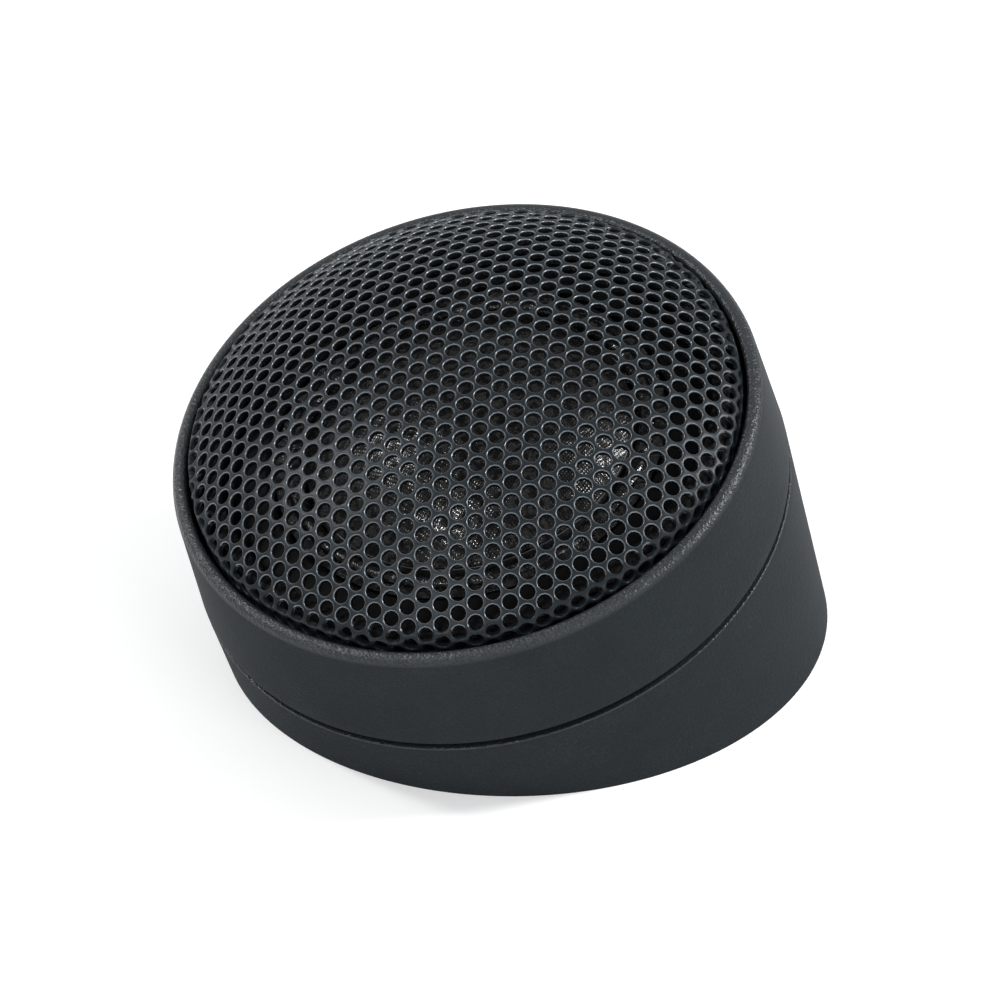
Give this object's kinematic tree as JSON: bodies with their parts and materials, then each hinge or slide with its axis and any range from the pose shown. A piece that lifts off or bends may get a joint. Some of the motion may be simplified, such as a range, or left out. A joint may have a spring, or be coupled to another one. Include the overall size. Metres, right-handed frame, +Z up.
{
  "type": "car tweeter",
  "caption": "Round dome tweeter in an angled surface-mount pod: perforated domed grille in a ring housing that twist-locks onto a wedge base",
  "frame": {"origin": "on the flat underside, where the tweeter's leaning axis meets it", "axes": "+Z up out of the mounting surface; the tweeter's axis leans 21 degrees from +Z towards -Y, the thin side of the wedge; +X to the right of it"},
  "size_m": [0.047, 0.0544, 0.0311],
  "materials": {
    "pod_plastic": "fine-grained satin black moulding",
    "rubber": "matte black rubber",
    "grille_paint": "semi-gloss blue-black paint",
    "foam": "black open-cell foam",
    "driver_plastic": "black moulding",
    "screw_steel": "zinc-plated",
    "plated_steel": "zinc-plated, turned",
    "magnet_plating": "nickel-plated magnet",
    "felt": "dark wool felt",
    "dome_silk": "coated woven silk",
    "former_aluminium": "plain foil",
    "coil_wire": "enamelled copper winding",
    "board": "phenolic paper laminate",
    "tag_brass": "tinned brass",
    "lead_braid": "braided copper tinsel",
    "capacitor_sleeve": "dark blue heat-shrink sleeve",
    "leg_tin": "tinned wire"
  },
  "bodies": {
    "base": {"wedge_base": "pod_plastic", "cable_grommet": "rubber"},
    "housing": {"housing_ring": "pod_plastic", "grille": "grille_paint", "grille_cushion": "foam", "faceplate": "driver_plastic", "faceplate_gasket": "foam", "faceplate_screw_1": "screw_steel", "faceplate_screw_2": "screw_steel", "faceplate_screw_3": "screw_steel", "yoke_cup": "plated_steel", "magnet": "magnet_plating", "pole_plate": "plated_steel", "damping_felt": "felt", "surround_frame": "driver_plastic", "surround": "dome_silk", "terminal_board": "board", "terminal_board_screw": "screw_steel", "terminal_tag_positive": "tag_brass", "terminal_tag_negative": "tag_brass", "lead_wire_positive": "lead_braid", "lead_wire_negative": "lead_braid", "filter_capacitor": "capacitor_sleeve", "capacitor_leg_positive": "leg_tin", "capacitor_leg_input": "leg_tin"},
    "diaphragm": {"dome_diaphragm": "dome_silk", "coil_former": "former_aluminium", "voice_coil": "coil_wire"}
  },
  "joints": [
    {"name": "housing_twist", "type": "hinge", "parent": "base", "child": "housing", "pos_m": [0, -0.00502, 0.01307], "axis": [0, -0.3584, 0.9336], "range_deg": [0, 25]},
    {"name": "diaphragm_travel", "type": "slide", "parent": "housing", "child": "diaphragm", "axis": [0, -0.3584, 0.9336], "range_m": [-0.0004, 0.0004], "stiffness_N_per_m": 1000, "deforming": ["surround", "lead_wire_positive", "lead_wire_negative"]}
  ]
}
